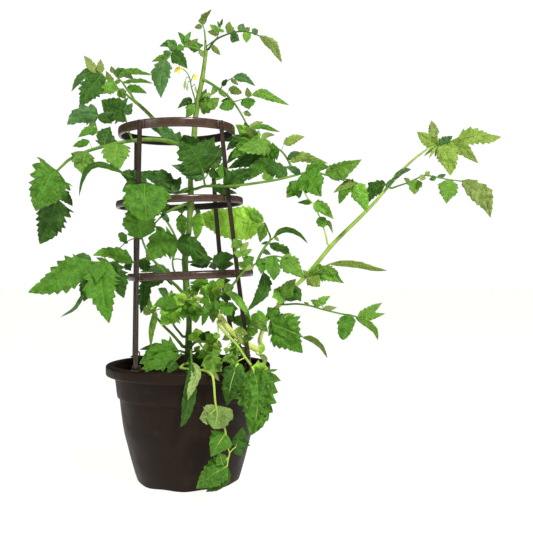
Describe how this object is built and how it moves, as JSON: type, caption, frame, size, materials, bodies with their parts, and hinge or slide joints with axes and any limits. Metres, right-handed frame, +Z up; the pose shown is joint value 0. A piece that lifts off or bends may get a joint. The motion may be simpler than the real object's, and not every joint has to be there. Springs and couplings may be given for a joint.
{
  "type": "potted tomato plant",
  "caption": "Tomato plant in a round brown nursery pot with rolled rim, clipped four-leg ring cage, toothed compound leaves, side branches and small yellow flowers.",
  "frame": {"origin": "centre of the pot's base, on the ground plane", "axes": "+Z up along the pot's axis, +X to the right as seen from the front, +Y away from the front"},
  "size_m": [0.8755, 0.3329, 0.8752],
  "materials": {
    "pot": "satin",
    "cage": "satin",
    "soil": "matte",
    "stem": "matte",
    "leaf": "matte",
    "petal": "matte"
  },
  "bodies": {
    "root": {"branch_right": "stem", "cage_leg_back_left": "cage", "cage_leg_back_right": "cage", "cage_leg_front_left": "cage", "cage_leg_front_right": "cage", "cage_ring_lower": "cage", "cage_ring_middle": "cage", "cage_ring_top": "cage", "flower_left": "petal", "flower_right": "petal", "flower_truss_stalk": "stem", "leaf_apex": "leaf", "leaf_apex_right": "leaf", "leaf_base_left": "leaf", "leaf_base_mid": "leaf", "leaf_behind_left": "leaf", "leaf_behind_low": "leaf", "leaf_behind_stem": "leaf", "leaf_branch_low": "leaf", "leaf_branch_mid_a": "leaf", "leaf_branch_mid_b": "leaf", "leaf_branch_side": "leaf", "leaf_branch_upper": "leaf", "leaf_center_front": "leaf", "leaf_hanging_chain": "leaf", "leaf_left_long": "leaf", "leaf_left_low": "leaf", "leaf_left_up": "leaf", "leaf_low_bright": "leaf", "leaf_low_center": "leaf", "leaf_low_left": "leaf", "leaf_low_right": "leaf", "leaf_mid_left": "leaf", "leaf_mid_pair": "leaf", "leaf_mid_right_back": "leaf", "leaf_mid_right_light": "leaf", "leaf_narrow_front": "leaf", "leaf_over_rim": "leaf", "leaf_pot_back": "leaf", "leaf_pot_left": "leaf", "leaf_pot_right": "leaf", "leaf_right_long": "leaf", "leaf_right_upper": "leaf", "leaf_rim_right": "leaf", "leaf_ring_left": "leaf", "leaf_ring_low": "leaf", "leaf_ring_stem": "leaf", "leaf_ring_stem_left": "leaf", "leaf_shoot_a": "leaf", "leaf_shoot_b": "leaf", "leaf_tip_high": "leaf", "leaf_tip_low": "leaf", "leaf_top_left": "leaf", "leaf_top_right": "leaf", "leaf_trailing": "leaf", "leaf_upper_right": "leaf", "main_stem": "stem", "pot": "pot", "shoot_left": "stem", "soil": "soil"}
  },
  "joints": []
}
